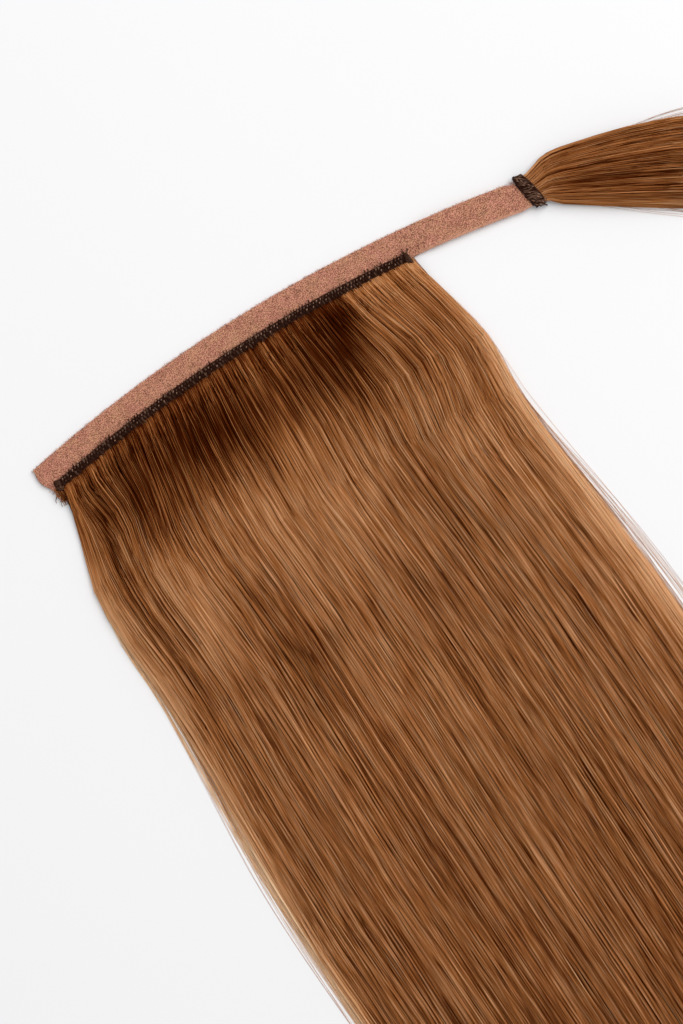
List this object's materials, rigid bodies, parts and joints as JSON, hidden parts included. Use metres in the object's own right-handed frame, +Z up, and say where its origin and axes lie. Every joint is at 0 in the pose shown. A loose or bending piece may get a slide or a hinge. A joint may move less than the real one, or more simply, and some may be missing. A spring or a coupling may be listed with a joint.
{
  "type": "ponytail hairpiece",
  "caption": "Wrap-around ponytail hairpiece: a loop tape with a sewn weft of long straight hair and a bound wrap lock, laid flat.",
  "frame": {"origin": "on the flat underside of the loop tape, at the middle of the hair weft", "axes": "+Z up from the surface it lies on, +X along the tape towards the bound wrap lock, and the hair flows to -Y"},
  "size_m": [0.3597, 0.4144, 0.01],
  "materials": {
    "tape_pile": "brushed loop pile",
    "dark_thread": "sewing thread",
    "hair": "straight hair with a soft sheen",
    "hook_plastic": "matt"
  },
  "bodies": {
    "root": {"loop_tape": "tape_pile", "weft_track": "dark_thread", "hair_curtain": "hair", "hook_pad": "hook_plastic", "lock_binding": "dark_thread", "wrap_lock": "hair"}
  },
  "joints": []
}
